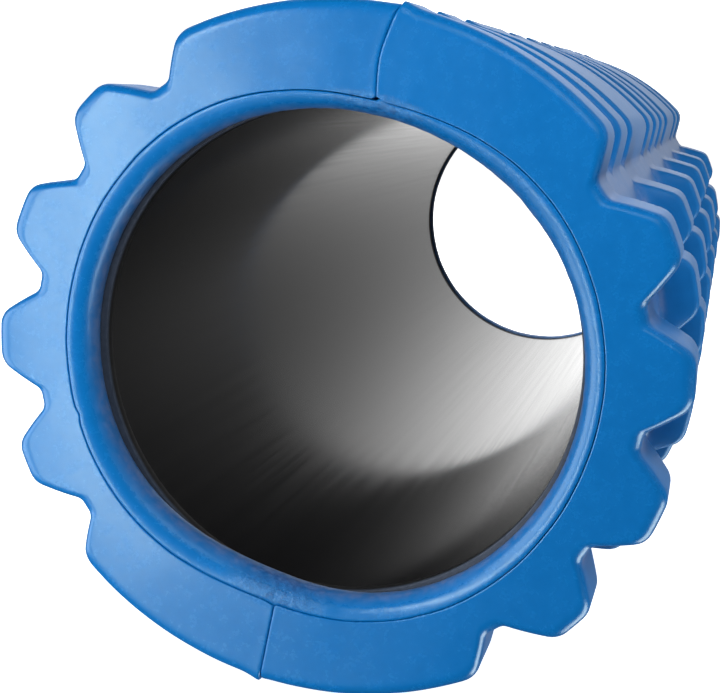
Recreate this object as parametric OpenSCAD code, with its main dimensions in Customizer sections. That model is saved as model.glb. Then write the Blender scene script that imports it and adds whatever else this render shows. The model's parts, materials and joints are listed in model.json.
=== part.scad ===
// Hollow-core massage roller: a rigid tube inside two moulded foam half shells,
// with a foam lip ring closing each end of the tube.
// The roller's axis lies along Y, the shell seams lie in the plane x = 0, and the
// origin is at the middle of the roller.

/* [Roller] */
// Length over the two end faces
roller_length = 330; // [300:10:450]
// Diameter over the tooth crests
crest_diameter = 140; // [138:1:150]

/* [Core tube] */
// Inner diameter of the tube
bore_diameter = 97.6; // [92:0.2:100]
// Wall thickness of the tube
tube_wall = 2.5; // [2:0.1:3.2]
// Distance from each end face to the tube's end
tube_recess = 7; // [5:0.5:9]

/* [End lips] */
// Radial width of a lip ring
lip_width = 4; // [3:0.1:4.4]
// Width of the tube's end face left showing inside a lip ring
lip_reveal = 1.2; // [0.6:0.1:1.5]
// Rounding of a lip ring's inner edge
lip_round = 2.8; // [1:0.1:2.9]

/* [Foam grid] */
// Number of rows of blocks along the length, an odd number
row_count = 11; // [9:2:13]
// Length of a block's crest along the axis
block_length = 17; // [14:0.5:18]
// Depth of the grooves below the tooth crests
groove_depth = 8; // [5:0.5:8.5]
// Extra length of a block at its foot, on each of its two sides
wall_draft = 1.5; // [0:0.1:2]
// Number of places for a valley round the whole roller, some of them filled by the lobes
slot_count = 16; // [14:2:18]
// Width of a tooth's crest, in degrees
tooth_crest_angle = 8.2; // [6:0.1:10]
// Width of a valley's floor, in degrees
valley_floor_angle = 3.6; // [2:0.1:4.5]

/* [Lobes] */
// How far the middle of a lobe lies below the tooth crests
lobe_middle_drop = 1.6; // [1:0.1:3]
// How far the ends of a lobe lie below the tooth crests
lobe_end_drop = 0.9; // [0:0.1:1]

/* [Hidden] */
$fn = 120;

foam_color = [0.05, 0.38, 0.74];
tube_color = [0.10, 0.10, 0.11];

crest_r = crest_diameter / 2;
floor_r = crest_r - groove_depth;
bore_r = bore_diameter / 2;
tube_r = bore_r + tube_wall;
lip_inner_r = bore_r + lip_reveal;
lip_r = lip_inner_r + lip_width;
tube_length = roller_length - 2 * tube_recess;

// Rows are evenly spaced, and the first and last blocks are flush with the ends.
row_pitch = (roller_length - block_length) / (row_count - 1);
last_row = row_count - 1;
// A wide lobe rib joins rows 2 and 3, and its mirror image joins the matching far rows.
wide_rows = [2, last_row - 3];

// Slots are counted from the middle of a lobe; two slots each side of it are filled.
slot_angle = 360 / slot_count;
lobe_slots = 2;
side_slots = slot_count / 2 - 2 * lobe_slots;
tooth_crest_half = tooth_crest_angle / 2;
tooth_foot_half = (slot_angle - valley_floor_angle) / 2;
flank_angle = tooth_foot_half - tooth_crest_half;
lobe_foot_half = lobe_slots * slot_angle - valley_floor_angle / 2;
lobe_crest_half = lobe_foot_half - flank_angle;

// A lobe's crest is an arc flatter than the roller: this is its centre's shift and radius.
lobe_middle_r = crest_r - lobe_middle_drop;
lobe_end_r = crest_r - lobe_end_drop;
lobe_shift = (pow(lobe_end_r, 2) - pow(lobe_middle_r, 2))
           / (2 * (lobe_middle_r - lobe_end_r * cos(lobe_crest_half)));
lobe_arc_r = lobe_middle_r + lobe_shift;

// Overlap that makes joined solids run into one another
bury = 1;

// Turns a solid built along +Z from 0 into the roller's frame, with its start at y = -length/2.
module along_roller(length = roller_length)
    translate([0, -length / 2, 0])
        rotate([-90, 0, 0])
            children();

// A point at the given angle from straight up; the drawing's -Y becomes the roller's +Z.
function polar_point(r, angle) = [r * sin(angle), -r * cos(angle)];

// Region between two flanks, open at the crest, standing on the roller's centre.
module flanked_wedge(crest_half, foot_half, end_r) {
    foot = polar_point(floor_r, foot_half);
    crest = polar_point(end_r, crest_half);
    above = crest + (crest - foot) * 0.4;
    polygon([
        [0, 0],
        foot,
        above,
        [0, -1.5 * crest_r],
        [-above[0], above[1]],
        [-foot[0], foot[1]]
    ]);
}

// Section of one tooth, at the given angle round the roller
module tooth_section(angle)
    rotate(angle)
        intersection() {
            circle(r = crest_r);
            flanked_wedge(tooth_crest_half, tooth_foot_half, crest_r);
        }

// Section of the lobe at the top of the roller
module lobe_section()
    intersection() {
        translate([0, lobe_shift])
            circle(r = lobe_arc_r);
        flanked_wedge(lobe_crest_half, lobe_foot_half, lobe_end_r);
    }

// Teeth of one side; staggered rows hold one tooth fewer, half a slot further round.
module side_teeth(staggered) {
    stagger = staggered ? 1 : 0.5;
    teeth = staggered ? side_slots - 1 : side_slots;
    for (i = [0 : teeth - 1])
        tooth_section((lobe_slots + stagger + i) * slot_angle);
}

// Ring that spans some rows, with drafted walls; it ends flush at the roller's own ends.
module row_band(first, last = undef) {
    final = is_undef(last) ? first : last;
    from = first * row_pitch;
    to = final * row_pitch + block_length;
    draft_from = first == 0 ? 0 : wall_draft;
    draft_to = final == last_row ? 0 : wall_draft;
    rotate_extrude()
        polygon([
            [floor_r - bury, from - draft_from],
            [floor_r, from - draft_from],
            [crest_r, from],
            [crest_r + bury, from],
            [crest_r + bury, to],
            [crest_r, to],
            [floor_r, to + draft_to],
            [floor_r - bury, to + draft_to]
        ]);
}

// Teeth of one side, in rows with or without stagger
module tooth_rows(staggered)
    intersection() {
        for (row = [staggered ? 1 : 0 : 2 : last_row])
            row_band(row);
        linear_extrude(roller_length)
            side_teeth(staggered);
    }

// Ribs across one lobe: one for each row, with two wide ribs that join two rows each
module lobe_ribs()
    intersection() {
        for (row = [0 : last_row])
            if (row == wide_rows[0] || row == wide_rows[1])
                row_band(row, row + 1);
            else if (row != wide_rows[0] + 1 && row != wide_rows[1] + 1)
                row_band(row);
        linear_extrude(roller_length)
            lobe_section();
    }

// Space inside the shells: the tube, and a wider seat for each end lip
module core_space() {
    translate([0, 0, -bury])
        cylinder(h = roller_length + 2 * bury, r = tube_r);
    translate([0, 0, -bury])
        cylinder(h = tube_recess + bury, r = lip_r);
    translate([0, 0, roller_length - tube_recess])
        cylinder(h = tube_recess + bury, r = lip_r);
}

// One moulded half shell on the +X side
module half_shell()
    difference() {
        union() {
            cylinder(h = roller_length, r = floor_r);
            tooth_rows(false);
            tooth_rows(true);
            lobe_ribs();
            rotate(180)
                lobe_ribs();
        }
        core_space();
        translate([-2 * crest_r, -2 * crest_r, -bury])
            cube([2 * crest_r, 4 * crest_r, roller_length + 2 * bury]);
    }

// Lip ring from the end face down to the tube, rounded over into the bore
module lip_ring()
    rotate_extrude()
        difference() {
            translate([lip_inner_r, 0])
                square([lip_width, tube_recess]);
            difference() {
                translate([lip_inner_r - bury, -bury])
                    square(lip_round + bury);
                translate([lip_inner_r + lip_round, lip_round])
                    circle(r = lip_round);
            }
        }

module core_tube()
    color(tube_color)
        along_roller(tube_length)
            difference() {
                cylinder(h = tube_length, r = tube_r);
                translate([0, 0, -bury])
                    cylinder(h = tube_length + 2 * bury, r = bore_r);
            }

module foam_shell_right()
    color(foam_color)
        along_roller()
            half_shell();

module foam_shell_left()
    color(foam_color)
        mirror([1, 0, 0])
            along_roller()
                half_shell();

module end_lip_front()
    color(foam_color)
        along_roller()
            lip_ring();

module end_lip_rear()
    color(foam_color)
        mirror([0, 1, 0])
            along_roller()
                lip_ring();

core_tube();
foam_shell_left();
foam_shell_right();
end_lip_front();
end_lip_rear();
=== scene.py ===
import json
import math

import bpy
import numpy as np
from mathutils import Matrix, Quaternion, Vector, noise

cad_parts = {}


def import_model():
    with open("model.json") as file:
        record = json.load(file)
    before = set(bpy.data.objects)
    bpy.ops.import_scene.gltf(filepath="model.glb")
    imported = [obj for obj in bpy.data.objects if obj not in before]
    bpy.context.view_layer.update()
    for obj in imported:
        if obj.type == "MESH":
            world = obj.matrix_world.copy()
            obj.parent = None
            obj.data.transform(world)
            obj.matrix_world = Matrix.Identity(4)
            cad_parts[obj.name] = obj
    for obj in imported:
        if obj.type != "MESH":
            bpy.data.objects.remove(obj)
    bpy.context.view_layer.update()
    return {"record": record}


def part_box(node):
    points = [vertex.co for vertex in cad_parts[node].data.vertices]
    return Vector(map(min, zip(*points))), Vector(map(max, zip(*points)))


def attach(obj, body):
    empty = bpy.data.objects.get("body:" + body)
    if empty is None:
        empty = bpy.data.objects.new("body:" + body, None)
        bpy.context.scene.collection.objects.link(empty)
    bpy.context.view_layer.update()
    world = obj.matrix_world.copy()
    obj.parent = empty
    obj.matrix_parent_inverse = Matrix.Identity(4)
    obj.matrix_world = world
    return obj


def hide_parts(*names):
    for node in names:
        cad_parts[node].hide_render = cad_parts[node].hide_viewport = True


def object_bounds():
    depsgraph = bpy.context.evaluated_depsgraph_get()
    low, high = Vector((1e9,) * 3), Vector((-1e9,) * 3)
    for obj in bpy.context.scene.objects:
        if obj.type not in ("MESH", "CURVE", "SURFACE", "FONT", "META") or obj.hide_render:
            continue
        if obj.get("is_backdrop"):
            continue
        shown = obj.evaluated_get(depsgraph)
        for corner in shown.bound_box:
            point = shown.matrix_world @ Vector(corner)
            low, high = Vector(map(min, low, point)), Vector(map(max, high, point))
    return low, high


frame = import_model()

# ---------------------------------------------------------------- dimensions
# Lengths are millimetres, angles are degrees, and the frame's metres are turned into them here.
# Angles round the roller run from 0 at the top seam, through 90 at +X, to 180 at the bottom seam.
MM = 0.001


def reach(node, axis):
    """How far a CAD node reaches along +axis, in millimetres."""
    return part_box(node)[1][axis] / MM


def mount_radius(name):
    """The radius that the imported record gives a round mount, in millimetres."""
    return [m["dims"]["r_mm"] for m in frame["record"]["mounts"] if m["name"] == name][0]


HALF_LENGTH = reach("foam_shell_right", 1)
CREST_R = reach("foam_shell_right", 0)
LOBE_MIDDLE_R = reach("foam_shell_right", 2)
TUBE_R = reach("core_tube", 0)
TUBE_END = reach("core_tube", 1)
BORE_R = mount_radius("core_bore")

# The raised pattern, as in the CAD source. A wide lobe rib joins each of WIDE_ROWS to the next row.
ROWS = 11
BLOCK_LENGTH = 17.0
GROOVE_DEPTH = 8.0
SLOT_ANGLE = 22.5
TOOTH_CREST_ANGLE = 8.2
VALLEY_FLOOR_ANGLE = 3.6
LOBE_SLOTS = 2
SIDE_SLOTS = 4
LOBE_END_DROP = 0.9
WIDE_ROWS = (2, 7)

# Drafts that differ from the CAD source. WALL_DRAFT, in mm, is 0.3 less than there. LOBE_SIDE_DRAFT,
# in degrees, is only here: it narrows the crest of a tooth beside a lobe, on the lobe's side.
WALL_DRAFT = 1.2
LOBE_SIDE_DRAFT = 1.2

FLOOR_R = CREST_R - GROOVE_DEPTH
PITCH = (2 * HALF_LENGTH - BLOCK_LENGTH) / (ROWS - 1)
TOOTH_CREST_HALF = TOOTH_CREST_ANGLE / 2
TOOTH_FOOT_HALF = (SLOT_ANGLE - VALLEY_FLOOR_ANGLE) / 2
LOBE_FOOT_HALF = LOBE_SLOTS * SLOT_ANGLE - VALLEY_FLOOR_ANGLE / 2
LOBE_CREST_HALF = LOBE_FOOT_HALF - (TOOTH_FOOT_HALF - TOOTH_CREST_HALF)

# Moulded roundings
WALL_CREST_ROUND = 1.3
WALL_FOOT_ROUND = 1.5
TOOTH_CREST_ROUND = 4.2
LOBE_CREST_ROUND = 5.0
FLANK_FOOT_ROUND = 2.5
END_ROUND = 2.6
ARC_STEPS = 5

# Lip rings: foam rolled over the tube's ends. CREASE_R is where they meet the shells.
CREASE_R = 53.95
CREASE_GAP = 0.12
CREASE_EASE = 0.15
LIP_BULGE_R = BORE_R + 0.8
LIP_BULGE_DEPTH = 4.2
LIP_UNDERCUT = 1.0

# Places where the front lip is drawn in: how far, clockwise angle from the top seam, and spread
CREASE_DIPS = ((3.4, 0, 30), (2.8, 186, 24))
BULGE_DIPS = ((2.1, 8, 42), (3.0, 187, 27))
REAR_BULGE_DIP = 1.5
CREASE_LEAN = 0.45
NICK = (0.45, 243, 1.1)


# ---------------------------------------------------------------- small helpers
def unit_noise(x, y, z, seed=0.0):
    """Smooth noise from about -1 to 1 at a point given in feature lengths."""
    return noise.noise(Vector((x + 17.3 * seed, y - 9.1 * seed, z + 4.7 * seed)))


def bell(x, width):
    """1 at x = 0, falling smoothly to 0 over about twice the width."""
    return math.exp(-((x / width) ** 2))


def smooth(x):
    """0 below 0, 1 above 1, and a smooth step between them."""
    x = min(1.0, max(0.0, x))
    return x * x * (3 - 2 * x)


def rounded_line(points, radii):
    """The polyline with each inner corner replaced by an arc of the given radius."""
    out = [points[0]]
    for before, corner, after, radius in zip(points, points[1:], points[2:], radii):
        c = np.array(corner, float)
        to_before = np.array(before, float) - c
        to_after = np.array(after, float) - c
        to_before /= np.linalg.norm(to_before)
        to_after /= np.linalg.norm(to_after)
        half = math.acos(max(-1.0, min(1.0, float(to_before @ to_after)))) / 2
        middle = c + (to_before + to_after) / np.linalg.norm(to_before + to_after) * radius / math.sin(half)
        start = c + to_before * radius / math.tan(half) - middle
        turn = math.pi - 2 * half
        sign = 1.0 if to_before[0] * to_after[1] - to_before[1] * to_after[0] < 0 else -1.0
        for step in range(ARC_STEPS + 1):
            a = sign * turn * step / ARC_STEPS
            x = start[0] * math.cos(a) - start[1] * math.sin(a)
            y = start[0] * math.sin(a) + start[1] * math.cos(a)
            out.append((middle[0] + x, middle[1] + y))
    out.append(points[-1])
    return out


def fill_gaps(values, widest):
    """Sorted values with extra ones between any two that lie further apart than widest."""
    out = [values[0]]
    for value in values[1:]:
        gap = value - out[-1]
        extra = int(gap / widest)
        start = out[-1]
        out.extend(start + gap * (i + 1) / (extra + 1) for i in range(extra))
        out.append(value)
    return out


# ---------------------------------------------------------------- pattern across the length
PROFILE_STEP = 2.2


def length_profile():
    """Points (y, height share, row) over all rows, from the front round-over to the rear one."""
    points, radii = [(-HALF_LENGTH + END_ROUND, GROOVE_DEPTH)], []
    for row in range(ROWS):
        start = -HALF_LENGTH + row * PITCH
        end = start + BLOCK_LENGTH
        if row > 0:
            points += [(start - WALL_DRAFT, 0.0), (start, GROOVE_DEPTH)]
            radii += [WALL_FOOT_ROUND, WALL_CREST_ROUND]
        if row < ROWS - 1:
            points += [(end, GROOVE_DEPTH), (end + WALL_DRAFT, 0.0)]
            radii += [WALL_CREST_ROUND, WALL_FOOT_ROUND]
    points.append((HALF_LENGTH - END_ROUND, GROOVE_DEPTH))
    line = rounded_line(points, radii)
    out = []
    for (y0, h0), (y1, h1) in zip(line, line[1:]):
        pieces = max(1, int(math.hypot(y1 - y0, h1 - h0) / PROFILE_STEP))
        for i in range(pieces):
            t = i / pieces
            out.append((y0 + (y1 - y0) * t, h0 + (h1 - h0) * t))
    out.append(line[-1])
    rows = [min(ROWS - 1, max(0, round((y + HALF_LENGTH - BLOCK_LENGTH / 2) / PITCH))) for y, _ in out]
    return [(y, h / GROOVE_DEPTH, row) for (y, h), row in zip(out, rows)]


def in_wide_rib(y):
    """Whether y lies between the outer edges of the two rows that a wide lobe rib joins."""
    for row in WIDE_ROWS:
        start = -HALF_LENGTH + row * PITCH + BLOCK_LENGTH / 2
        if start < y < start + PITCH:
            return True
    return False


# ---------------------------------------------------------------- pattern round the roller
ARC_MM = math.radians(1.0) * (FLOOR_R + GROOVE_DEPTH / 2)


def section_line(blocks, crest_round):
    """Rounded outline (angle, height share) of blocks.
    Each block is given as four angles: foot, crest, crest and foot."""
    points, radii = [(blocks[0][0] - SLOT_ANGLE, 0.0)], []
    for foot_start, crest_start, crest_end, foot_end in blocks:
        points += [(foot_start, 0), (crest_start, 1), (crest_end, 1), (foot_end, 0)]
        radii += [FLANK_FOOT_ROUND, crest_round, crest_round, FLANK_FOOT_ROUND]
    points.append((blocks[-1][3] + SLOT_ANGLE, 0.0))
    scaled = [(a * ARC_MM, h * GROOVE_DEPTH) for a, h in points]
    return [(x / ARC_MM, h / GROOVE_DEPTH) for x, h in rounded_line(scaled, radii)]


def block_angles(middle, crest_half, foot_half):
    """The four angles of a block: foot, crest, crest and foot."""
    return [middle - foot_half, middle - crest_half, middle + crest_half, middle + foot_half]


def lobe_block(middle):
    return block_angles(middle, LOBE_CREST_HALF, LOBE_FOOT_HALF)


def tooth_blocks(row):
    """The teeth of a row; every second row is staggered.
    A tooth beside a lobe has more draft on the lobe's side, so that the mould can open."""
    if row % 2 == 0:
        middles = [(LOBE_SLOTS + 0.5 + i) * SLOT_ANGLE for i in range(SIDE_SLOTS)]
    else:
        middles = [(LOBE_SLOTS + 1 + i) * SLOT_ANGLE for i in range(SIDE_SLOTS - 1)]
    blocks = [block_angles(middle, TOOTH_CREST_HALF, TOOTH_FOOT_HALF) for middle in middles]
    if row % 2 == 0:
        blocks[0][1] += LOBE_SIDE_DRAFT
        blocks[-1][2] -= LOBE_SIDE_DRAFT
    return blocks


LOBE_LINE = section_line([lobe_block(0.0), lobe_block(180.0)], LOBE_CREST_ROUND)
TOOTH_LINES = [section_line(tooth_blocks(row), TOOTH_CREST_ROUND) for row in (0, 1)]


def line_height(line, angle):
    return float(np.interp(angle, [p[0] for p in line], [p[1] for p in line]))


def lobe_crest_r(angle):
    """Radius of a lobe's crest: an arc flatter than the roller, with its lowest place at the seam."""
    from_seam = math.radians(min(angle, 180 - angle))
    end_r = CREST_R - LOBE_END_DROP
    end = math.radians(LOBE_CREST_HALF)
    shift = (end_r**2 - LOBE_MIDDLE_R**2) / (2 * (LOBE_MIDDLE_R - end_r * math.cos(end)))
    arc_r = LOBE_MIDDLE_R + shift
    return math.sqrt(max(0.0, arc_r**2 - (shift * math.sin(from_seam)) ** 2)) - shift * math.cos(from_seam)


# Mesh columns beside a seam stand at SEAM_STEPS, and the pattern's own columns start past SEAM_CLEAR.
SEAM_STEPS = (0.0, 0.12, 0.3, 0.5, 0.8, 1.2, 1.7, 2.4, 3.3, 4.6, 6.2)
SEAM_CLEAR = 6.5
LEAST_COLUMN_GAP = 0.07
WIDEST_COLUMN_GAP = 1.1


def angle_lines():
    """Angles of the mesh columns of one half shell, from the top seam to the bottom one."""
    per_mm = 1 / ARC_MM
    values = [s * per_mm for s in SEAM_STEPS] + [180 - s * per_mm for s in SEAM_STEPS]
    for line in TOOTH_LINES + [LOBE_LINE]:
        values += [a for a, _ in line if SEAM_CLEAR * per_mm < a < 180 - SEAM_CLEAR * per_mm]
    values = sorted(values)
    kept = [values[0]]
    for value in values[1:]:
        if value - kept[-1] > LEAST_COLUMN_GAP:
            kept.append(value)
    kept[-1] = 180.0
    return fill_gaps(kept, WIDEST_COLUMN_GAP)


# ---------------------------------------------------------------- foam shells
def seam_distance(angle, radius):
    """Distance from the nearer seam along the surface, and whether that seam is the top one."""
    top = angle < 90
    return math.radians(angle if top else 180 - angle) * radius, top


def seam_relief(distance, side, top):
    """How far the skin stands proud beside a seam: a soft bead, then a crease at the seam itself.
    One half is curled further out than the other, the right one at the top and the left one below."""
    proud = 0.8 if (side > 0) == top else 0.1
    return proud * bell(distance, 2.4) + 0.05 * bell(distance - 0.7, 0.5) - 0.4 * bell(distance, 0.14)


def around(side, angle):
    """Clockwise angle from the top seam, seen from the front."""
    return angle if side > 0 else 360 - angle


def angle_gap(a, b):
    """Unsigned difference of two clockwise angles."""
    return abs((a - b + 180) % 360 - 180)


def dips(places, turn):
    """Sum at a clockwise angle of soft dips, each given as depth, angle and spread."""
    return sum(depth * bell(angle_gap(turn, at), spread) for depth, at, spread in places)


def end_noise(side, angle, waves, seed):
    """Noise round an end of the roller, with about the given number of waves a turn."""
    a = math.radians(angle) * side
    scale = waves / math.tau
    return unit_noise(scale * math.sin(a), scale * math.cos(a), 0, seed)


def crease_r(side, angle, end):
    """Radius of the line where a lip ring meets the shells: trimmed by hand, and drawn in near the seams."""
    turn = around(side, angle)
    top_corner = 0.6 * bell(angle, 1.4 if side > 0 else 0.6)
    bottom_corner = 0.4 * bell(180 - angle, 1.3 if side < 0 else 0.4)
    corner = top_corner + bottom_corner
    wobble = 0.16 * end_noise(side, angle, 16, end) + 0.07 * end_noise(side, angle, 70, end + 2)
    lean = CREASE_LEAN * math.sin(math.radians(turn))
    return CREASE_R - lean - dips(CREASE_DIPS, turn) + corner - dips([NICK], turn) + wobble


def bulge_r(side, angle, end):
    """Radius of the innermost line of a lip ring. At the front it hangs over the tube's edge near the
    seams only, and at the rear it does so all round."""
    dip = REAR_BULGE_DIP if end > 0 else dips(BULGE_DIPS, around(side, angle))
    return LIP_BULGE_R - dip + 0.08 * end_noise(side, angle, 12, end + 5)


def skin_radius(side, angle, y, share, row):
    """Radius of the moulded outer skin."""
    lobe_share = 1.0 if in_wide_rib(y) else share
    lobe = line_height(LOBE_LINE, angle) * lobe_share
    tooth = line_height(TOOTH_LINES[row % 2], angle) * share
    if lobe > 0 and (angle < 45 or angle > 135):
        rise = (lobe_crest_r(angle) - FLOOR_R) * lobe
    else:
        rise = GROOVE_DEPTH * tooth
    distance, top = seam_distance(angle, FLOOR_R)
    a = math.radians(angle) * side
    p = (FLOOR_R * math.sin(a) / 26, y / 26, FLOOR_R * math.cos(a) / 26)
    unevenness = 0.16 * unit_noise(*p, 3) + 0.05 * unit_noise(*(c * 4 for c in p), 4)
    return FLOOR_R + rise + seam_relief(distance, side, top) + unevenness


FACE_STEPS = (0.0, 0.05, 0.12, 0.22, 0.34, 0.46, 0.58, 0.7, 0.81, 0.9, 1.0)
FACE_MARGIN = 1.2
EDGE_STEPS = ((0.35, 0.0), (0.12, 0.0), (0.05, -0.06), (0.0, -0.3))


def end_loop(side, angle, end, edge_r):
    """Points (radius, y) from the skin's end round-over across the end face and down into the lip seat.
    end is -1 at the front and +1 at the rear, and edge_r is the skin's radius at that end."""
    distance, _ = seam_distance(angle, FLOOR_R)
    inner = crease_r(side, angle, end)
    points = []
    for step in range(1, ARC_STEPS + 2):
        a = math.pi / 2 * step / (ARC_STEPS + 1)
        points.append((edge_r - END_ROUND * (1 - math.cos(a)), HALF_LENGTH - END_ROUND * (1 - math.sin(a))))
    outer = points[-1][0]
    face_end = inner + FACE_MARGIN
    for share in FACE_STEPS[1:]:
        points.append((outer + (face_end - outer) * share, HALF_LENGTH))
    for away, rise in EDGE_STEPS:
        points.append((inner + away, HALF_LENGTH + rise))
    points.append((inner, TUBE_END))
    points.append((TUBE_R, TUBE_END))
    out = []
    for radius, y in points:
        on_face = smooth((y - TUBE_END - 1) / 3)
        a = math.radians(angle) * side
        soft = 0.16 * unit_noise(radius * math.sin(a) / 16, end, radius * math.cos(a) / 16, 5)
        bead = 0.03 * bell(distance - 0.7, 0.5) - 0.4 * bell(distance, 0.12)
        out.append((radius, end * (y + on_face * (soft + bead))))
    return out


def shell_loop(side, angle, profile):
    """Closed section of a half shell at one angle, as (radius, y) points."""
    skin = [(skin_radius(side, angle, y, share, row), y) for y, share, row in profile]
    front = end_loop(side, angle, -1, skin[0][0])
    rear = end_loop(side, angle, 1, skin[-1][0])
    return front[::-1] + skin + rear


def seam_shift(x_away, radius, y):
    """Sideways wander of the top seam, shared by both halves and fading away from the seam.
    On the front face the seam bows to the left between the lip and the rim."""
    across = min(1.0, max(0.0, (radius - 51) / (LOBE_MIDDLE_R - 51)))
    bow = -0.9 * (1 - across) - 1.4 * math.sin(math.pi * across)
    wander = 0.25 * unit_noise(y / 40, radius / 7, 0, 6)
    return (bow * smooth((-y - HALF_LENGTH + 6) / 4) + wander) * bell(x_away, 9.0)


def add_mesh(name, vertices, faces):
    """A smooth-shaded mesh object from millimetre vertices."""
    mesh = bpy.data.meshes.new(name)
    mesh.from_pydata([Vector(v) * MM for v in vertices], [], faces)
    mesh.validate()
    mesh.update()
    mesh.polygons.foreach_set("use_smooth", [True] * len(mesh.polygons))
    piece = bpy.data.objects.new(name, mesh)
    bpy.context.scene.collection.objects.link(piece)
    return piece


def sweep_faces(columns, ring, closed):
    """Quads between neighbouring columns of closed rings, and end caps where the sweep isn't closed."""
    faces = []
    for i in range(columns if closed else columns - 1):
        a, b = i * ring, ((i + 1) % columns) * ring
        for j in range(ring):
            k = (j + 1) % ring
            faces.append((a + k, b + k, b + j, a + j))
    if not closed:
        faces.append(tuple(reversed(range(ring))))
        last = (columns - 1) * ring
        faces.append(tuple(last + j for j in range(ring)))
    return faces


def foam_shell(name, side):
    """One half shell: side is +1 for +X and -1 for -X."""
    profile = length_profile()
    vertices = []
    angles = angle_lines()
    for angle in angles:
        loop = shell_loop(side, angle, profile)
        a = math.radians(angle)
        for radius, y in loop:
            x = side * radius * math.sin(a)
            z = radius * math.cos(a)
            if z > 0:
                x += seam_shift(abs(x), radius, y)
            vertices.append((x, y, z))
    ring = len(vertices) // len(angles)
    faces = sweep_faces(len(angles), ring, closed=False)
    if side > 0:
        faces = [f[::-1] for f in faces]
    return add_mesh(name, vertices, faces)


# ---------------------------------------------------------------- lips and tube
LIP_STEPS = 16
UNDER_STEPS = 5
ROUND_COLUMNS = 360


def lip_loop(side, angle, end):
    """Closed section of a lip ring at one angle.
    It runs from the crease over the roll to the inmost line, and back underneath."""
    outer = crease_r(side, angle, end) - CREASE_GAP
    inner = bulge_r(side, angle, end)
    width = outer - CREASE_EASE - inner
    points = [(outer, TUBE_END), (outer, HALF_LENGTH - CREASE_EASE)]
    for step in range(LIP_STEPS + 1):
        t = math.pi / 2 * step / LIP_STEPS
        points.append((inner + width * (1 - math.sin(t)), HALF_LENGTH - LIP_BULGE_DEPTH * (1 - math.cos(t))))
    below = HALF_LENGTH - LIP_BULGE_DEPTH - TUBE_END - 0.02
    for step in range(1, UNDER_STEPS + 1):
        t = math.pi / 2 * step / UNDER_STEPS
        radius = inner + LIP_UNDERCUT * (1 - math.cos(t))
        points.append((radius, HALF_LENGTH - LIP_BULGE_DEPTH - below * math.sin(t)))
    a = math.radians(angle) * side
    out = []
    for radius, y in points:
        soft = 0.1 * unit_noise(radius * math.sin(a) / 7, y / 7, radius * math.cos(a) / 7, 7)
        crumple = 0.07 * unit_noise(radius * math.sin(a) / 1.6, y / 1.6, radius * math.cos(a) / 1.6, 8)
        rolled = smooth((outer - radius) / 1.5) * smooth((y - TUBE_END) / 1.5)
        out.append((radius + rolled * (soft + crumple), end * y))
    return out


def lip_ring(name, end):
    """A foam lip ring: end is -1 at the front and +1 at the rear."""
    vertices = []
    for column in range(ROUND_COLUMNS):
        turn = 360.0 * column / ROUND_COLUMNS
        side, angle = (1, turn) if turn <= 180 else (-1, 360 - turn)
        a = math.radians(turn)
        loop = lip_loop(side, angle, end)
        vertices += [(r * math.sin(a), y, r * math.cos(a)) for r, y in loop]
    ring = len(vertices) // ROUND_COLUMNS
    faces = sweep_faces(ROUND_COLUMNS, ring, closed=True)
    if end > 0:
        faces = [f[::-1] for f in faces]
    return add_mesh(name, vertices, faces)


def tube_piece(name):
    """The core tube. Sawing has turned a small burr inwards at each end of the bore."""
    ease, burr, burr_length = 0.2, 0.08, 2.5
    corners = [
        (BORE_R, TUBE_END - burr_length),
        (BORE_R - burr, TUBE_END - 0.5),
        (BORE_R + 0.05, TUBE_END),
        (TUBE_R, TUBE_END),
    ]
    corners += [(r, -y) for r, y in reversed(corners)]
    middle = (BORE_R, 0.0)
    radii = [4.0, 0.5, ease, ease, ease, ease, 0.5, 4.0]
    line = rounded_line([middle] + corners + [middle], radii)[:-1]
    long_steps = [(BORE_R, y) for y in (-TUBE_END * 0.66, -TUBE_END * 0.33)]
    vertices = []
    for column in range(ROUND_COLUMNS):
        a = 2 * math.pi * column / ROUND_COLUMNS
        vertices += [(r * math.sin(a), y, r * math.cos(a)) for r, y in line + long_steps]
    return add_mesh(name, vertices, sweep_faces(ROUND_COLUMNS, len(line) + len(long_steps), closed=True))


# ---------------------------------------------------------------- materials
FOAM_DEEP = (0.0006, 0.119, 0.372, 1)
FOAM_PALE = (0.0010, 0.139, 0.425, 1)
FOAM_SHEEN = (0.74, 1.0, 1.0, 1)
FOAM_DUST = (0.33, 0.28, 0.34, 1)
# The next two colours mottle the lips darker and paler where the seams meet them.
FOAM_SEAM_DARK = (0.0005, 0.035, 0.16, 1)
FOAM_SEAM_PALE = (0.35, 0.50, 0.66, 1)
CUT_ROUGH = 0.25
MOULDED_ROUGH = 0.42
TUBE_DEEP = (0.0035, 0.0035, 0.004, 1)
TUBE_PALE = (0.0065, 0.0065, 0.007, 1)
SAWN_DEEP = (0.020, 0.027, 0.042, 1)
SAWN_PALE = (0.065, 0.083, 0.118, 1)
TUBE_ROUGH = 0.14


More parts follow.
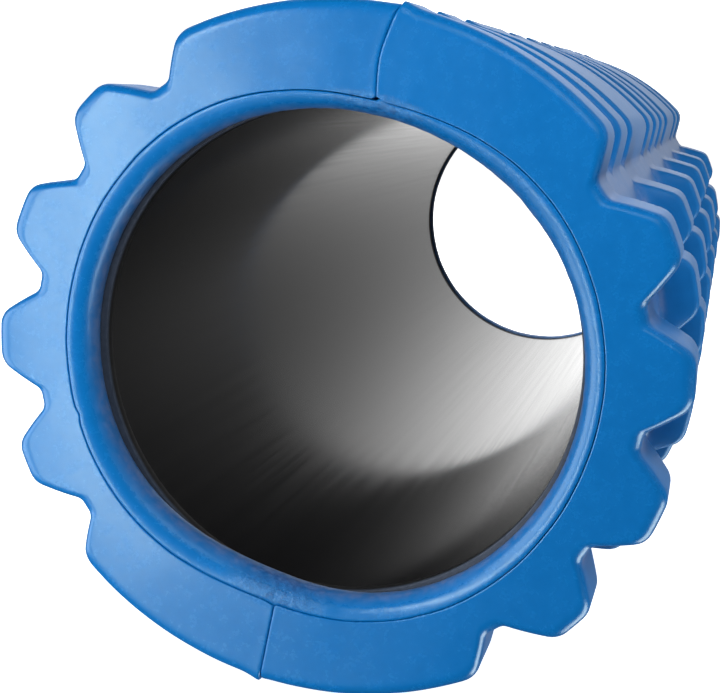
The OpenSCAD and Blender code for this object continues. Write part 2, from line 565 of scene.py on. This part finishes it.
class NodeTree:
    """Short calls for building a node tree."""

    def __init__(self, tree):
        self.tree = tree

    def add(self, kind, **settings):
        node = self.tree.nodes.new(kind)
        for key, value in settings.items():
            setattr(node, key, value)
        return node

    def link(self, a, b):
        self.tree.links.new(a, b)

    def position(self):
        """Object coordinates, in metres."""
        return self.add("ShaderNodeTexCoord").outputs["Object"]

    def math(self, operation, a, b=0.0, c=0.0):
        node = self.add("ShaderNodeMath", operation=operation)
        for socket, value in zip(node.inputs, (a, b, c)):
            if isinstance(value, (int, float)):
                socket.default_value = value
            else:
                self.link(value, socket)
        return node.outputs[0]

    def dot(self, vector, axis):
        """The vector's reach along a fixed axis."""
        node = self.add("ShaderNodeVectorMath", operation="DOT_PRODUCT")
        node.inputs[1].default_value = axis
        self.link(vector, node.inputs[0])
        return node.outputs["Value"]

    def noise(self, vector, scale, detail=3.0, roughness=0.55):
        node = self.add("ShaderNodeTexNoise")
        node.inputs["Scale"].default_value = scale
        node.inputs["Detail"].default_value = detail
        node.inputs["Roughness"].default_value = roughness
        self.link(vector, node.inputs["Vector"])
        return node.outputs["Fac"]

    def scaled(self, vector, scale):
        node = self.add("ShaderNodeMapping")
        node.inputs["Scale"].default_value = scale
        self.link(vector, node.inputs["Vector"])
        return node.outputs["Vector"]

    def remap(self, value, low, high, to_low, to_high):
        node = self.add("ShaderNodeMapRange", interpolation_type="SMOOTHSTEP")
        for socket, number in zip(node.inputs[1:5], (low, high, to_low, to_high)):
            socket.default_value = number
        self.link(value, node.inputs[0])
        return node.outputs[0]

    def mix(self, factor, a, b):
        node = self.add("ShaderNodeMix", data_type="RGBA")
        for socket, value in ((node.inputs[0], factor), (node.inputs[6], a), (node.inputs[7], b)):
            if isinstance(value, (int, float, tuple)):
                socket.default_value = value
            else:
                self.link(value, socket)
        return node.outputs[2]

    def bump(self, height, strength, distance, normal=None):
        node = self.add("ShaderNodeBump")
        node.inputs["Strength"].default_value = strength
        node.inputs["Distance"].default_value = distance
        self.link(height, node.inputs["Height"])
        if normal is not None:
            self.link(normal, node.inputs["Normal"])
        return node.outputs["Normal"]

    def axis_values(self, vector):
        """(x, y, z, radius from the roller's axis)."""
        split = self.add("ShaderNodeSeparateXYZ")
        self.link(vector, split.inputs[0])
        x, y, z = split.outputs
        radius = self.math("SQRT", self.math("ADD", self.math("MULTIPLY", x, x), self.math("MULTIPLY", z, z)))
        return x, y, z, radius


class Material(NodeTree):
    """The node tree of a new material with one Principled shader."""

    def __init__(self, name):
        self.material = bpy.data.materials.new(name)
        self.material.use_nodes = True
        super().__init__(self.material.node_tree)
        self.shader = self.tree.nodes["Principled BSDF"]


def foam_colour(n, p, mottle, hollow, away_from_ends):
    """Clouded blue, with dust in the hollows of the moulded skin."""
    cloudy = n.noise(p, 60, 4)
    blend = n.math("ADD", n.math("MULTIPLY", cloudy, 0.35), n.math("MULTIPLY", mottle, 0.65))
    blue = n.mix(n.remap(blend, 0.25, 0.75, 0.0, 1.0), FOAM_DEEP, FOAM_PALE)
    dustiness = n.remap(mottle, 0.35, 0.65, 0.06, 0.26)
    dust = n.math("MULTIPLY", n.math("MULTIPLY", hollow, away_from_ends), dustiness)
    return n.mix(dust, blue, FOAM_DUST)


def seam_mottle(n, colour, crumple, lip_zone):
    """The colour mottled darker and paler where the seams meet the lips."""
    darker = n.math("MULTIPLY", lip_zone, n.remap(crumple, 0.42, 0.62, 0.0, 0.55))
    paler = n.math("MULTIPLY", lip_zone, n.remap(crumple, 0.5, 0.3, 0.0, 0.08))
    return n.mix(paler, n.mix(darker, colour, FOAM_SEAM_DARK), FOAM_SEAM_PALE)


def foam_material():
    """Moulded EVA foam: saturated blue with a fine mottle, smoother where it is cut than where it is moulded.
    Where the seams meet the lips, a crumpled patch is mottled darker and paler."""
    n = Material("eva_foam")
    p = n.position()
    x, y, _, radius = n.axis_values(p)
    mottle = n.noise(p, 500, 5, 0.65)
    crumple = n.noise(p, 900, 6, 0.75)
    end_start, end_full = (HALF_LENGTH - 3.5) * MM, (HALF_LENGTH - 0.6) * MM
    away_from_ends = n.remap(n.math("ABSOLUTE", y), end_start, end_full, 1, 0)
    hollow = n.remap(radius, (FLOOR_R + 0.3) * MM, (FLOOR_R + 2.0) * MM, 1, 0)
    near_seam = n.remap(n.math("ABSOLUTE", x), 2 * MM, 14 * MM, 1, 0)
    lip_zone = n.math("MULTIPLY", n.remap(radius, 50.2 * MM, 52.6 * MM, 1, 0), near_seam)
    colour = foam_colour(n, p, mottle, hollow, away_from_ends)
    n.link(seam_mottle(n, colour, crumple, lip_zone), n.shader.inputs["Base Color"])
    skin = n.math("MULTIPLY", away_from_ends, MOULDED_ROUGH - CUT_ROUGH)
    cut = n.remap(mottle, 0.3, 0.7, CUT_ROUGH, CUT_ROUGH + 0.03)
    n.link(n.math("ADD", skin, cut), n.shader.inputs["Roughness"])
    n.shader.inputs["IOR"].default_value = 1.5
    n.shader.inputs["Specular IOR Level"].default_value = 0.85
    n.shader.inputs["Specular Tint"].default_value = FOAM_SHEEN
    waves = n.bump(n.noise(p, 240, 2), 0.05, 0.0003)
    pits = n.bump(n.math("MULTIPLY", crumple, lip_zone), 0.5, 0.0006, waves)
    grain = n.bump(n.noise(p, 2600, 3, 0.6), 0.35, 0.00006, pits)
    n.link(grain, n.shader.inputs["Normal"])
    return n.material


def tube_material():
    """Extruded black plastic: glossy, faintly brushed along its length, with slate-grey sawn ends.
    It turns dull towards the ends."""
    n = Material("tube_plastic")
    p = n.position()
    _, y, _, _ = n.axis_values(p)
    along = n.noise(n.scaled(p, (700, 9, 700)), 1.0, 4, 0.6)
    end_gap = n.math("SUBTRACT", TUBE_END * MM, n.math("ABSOLUTE", y))
    sawn = n.remap(end_gap, 0.0003, 0.0012, 1, 0)
    matt = n.remap(end_gap, 0.0016, 0.0034, 1, 0)
    pale = n.mix(n.noise(p, 900, 4, 0.7), SAWN_DEEP, SAWN_PALE)
    dark = n.mix(n.noise(p, 30, 4), TUBE_DEEP, TUBE_PALE)
    n.link(n.mix(sawn, dark, pale), n.shader.inputs["Base Color"])
    rough = n.remap(along, 0.3, 0.7, TUBE_ROUGH, TUBE_ROUGH + 0.04)
    n.link(n.math("ADD", rough, n.math("MULTIPLY", matt, 0.4)), n.shader.inputs["Roughness"])
    n.shader.inputs["IOR"].default_value = 1.42
    n.link(n.bump(along, 0.03, 0.00002), n.shader.inputs["Normal"])
    return n.material


# ---------------------------------------------------------------- studio
CAMERA_PLACE = Vector((0.0632, -0.4217, 0.0645))
CAMERA_AIM = Vector((0.0115, -0.1650, 0.0091))
CAMERA_ROLL = 12.36
CAMERA_SHIFT = (-0.0444, -0.0229)
LENS = 70.46
BACKDROP_WAY = Vector((-0.190, 0.980, 0.060)).normalized()
BACKDROP_GLOW = 2.1
BACKDROP_WIDTH = 0.37
BACKDROP_HEIGHT = 0.42
ROOM_GLOW = 0.035
FLOOR_GLOW = 1.0


def studio_floor():
    """A plain white floor just under the roller. Only the camera sees it, so it neither shades nor tints."""
    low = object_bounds()[0][2]
    bpy.ops.mesh.primitive_plane_add(size=8, location=(0, 0, low - 0.0005))
    floor = bpy.context.object
    floor.name = "studio_floor"
    floor.visible_diffuse = False
    floor.visible_glossy = False
    floor.visible_shadow = False
    n = Material("floor_white")
    n.shader.inputs["Base Color"].default_value = (0.9, 0.9, 0.9, 1)
    n.shader.inputs["Roughness"].default_value = 0.8
    n.shader.inputs["Emission Color"].default_value = (1, 1, 1, 1)
    n.shader.inputs["Emission Strength"].default_value = FLOOR_GLOW
    floor.data.materials.append(n.material)
    floor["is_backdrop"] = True


def world():
    """A lit white backdrop behind the roller, brightest to the left of the middle, in a nearly dark room.
    The camera sees plain white all round."""
    room = bpy.data.worlds.new("studio")
    bpy.context.scene.world = room
    room.use_nodes = True
    n = NodeTree(room.node_tree)
    background = n.tree.nodes["Background"]
    background.inputs["Color"].default_value = (1, 1, 1, 1)
    way = n.add("ShaderNodeTexCoord").outputs["Generated"]
    seen = n.add("ShaderNodeLightPath").outputs["Is Camera Ray"]
    sideways = BACKDROP_WAY.cross(Vector((0, 0, 1))).normalized()
    upwards = sideways.cross(BACKDROP_WAY)
    across = n.math("POWER", n.math("ABSOLUTE", n.dot(way, sideways / BACKDROP_WIDTH)), 2.0)
    above = n.math("POWER", n.math("ABSOLUTE", n.dot(way, upwards / BACKDROP_HEIGHT)), 2.0)
    spread = n.math("EXPONENT", n.math("MULTIPLY", n.math("ADD", across, above), -1.0))
    behind = n.math("GREATER_THAN", n.dot(way, BACKDROP_WAY), 0.0)
    glow = n.math("MULTIPLY", n.math("MULTIPLY", spread, behind), BACKDROP_GLOW)
    shown = n.math("MAXIMUM", n.math("ADD", glow, ROOM_GLOW), seen)
    n.link(shown, background.inputs["Strength"])


def soft_box(name, place, aim, width, height, watts, mirrored=True):
    """A soft box. One that isn't mirrored stands for light bounced off the room: no highlight of it shows."""
    light = bpy.data.lights.new(name, "AREA")
    light.shape = "RECTANGLE"
    light.size = width
    light.size_y = height
    light.energy = watts
    lamp = bpy.data.objects.new(name, light)
    bpy.context.scene.collection.objects.link(lamp)
    lamp.location = place
    lamp.visible_camera = False
    lamp.visible_glossy = mirrored
    lamp.rotation_euler = (Vector(aim) - Vector(place)).to_track_quat("-Z", "Y").to_euler()


def lights():
    soft_box("key_strip", (-0.195, -0.496, -0.037), (-0.250, -0.165, -0.172), 0.07, 0.43, 1.04)
    soft_box("side_box", (-0.295, -0.278, -0.070), (0.0, -0.165, 0.0), 0.27, 0.33, 0.76)
    soft_box("rim_box", (0.38, -0.13, -0.22), (0.06, -0.13, 0.0), 0.26, 0.35, 1.5)
    soft_box("high_bounce", (0.28, 0.02, 0.30), (0.03, -0.02, 0.04), 0.30, 0.40, 0.7, mirrored=False)
    soft_box("back_bounce", (-0.35, 0.45, 0.35), (0.0, 0.05, 0.0), 0.50, 0.50, 5.0, mirrored=False)
    soft_box("top_bounce", (0.06, -0.36, 0.24), (0.02, -0.165, 0.06), 0.20, 0.15, 0.84, mirrored=False)
    soft_box("front_bounce", (0.22, -0.46, 0.24), (0.03, -0.165, 0.02), 0.25, 0.25, 0.05, mirrored=False)
    soft_box("low_bounce", (-0.10, -0.33, -0.17), (-0.03, -0.165, -0.05), 0.12, 0.12, 0.27, mirrored=False)


def camera():
    data = bpy.data.cameras.new("camera")
    data.lens = LENS
    data.shift_x, data.shift_y = CAMERA_SHIFT
    data.clip_start = 0.01
    view = bpy.data.objects.new("camera", data)
    bpy.context.scene.collection.objects.link(view)
    view.location = CAMERA_PLACE
    forward = (CAMERA_AIM - CAMERA_PLACE).normalized()
    turn = Quaternion(forward, math.radians(-CAMERA_ROLL))
    view.rotation_mode = "QUATERNION"
    view.rotation_quaternion = turn @ forward.to_track_quat("-Z", "Y")
    bpy.context.scene.camera = view


# ---------------------------------------------------------------- assembly
def place(piece, node, slot, material):
    piece.data.materials.append(material)
    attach(piece, "root")
    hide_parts(node)


foam = foam_material()
plastic = tube_material()
place(foam_shell("foam_shell_left_skin", -1), "foam_shell_left", "eva_foam", foam)
place(foam_shell("foam_shell_right_skin", 1), "foam_shell_right", "eva_foam", foam)
place(lip_ring("end_lip_front_roll", -1), "end_lip_front", "eva_foam", foam)
place(lip_ring("end_lip_rear_roll", 1), "end_lip_rear", "eva_foam", foam)
place(tube_piece("core_tube_body"), "core_tube", "tube_plastic", plastic)

studio_floor()
world()
lights()
camera()
bpy.context.scene.view_settings.view_transform = "Standard"
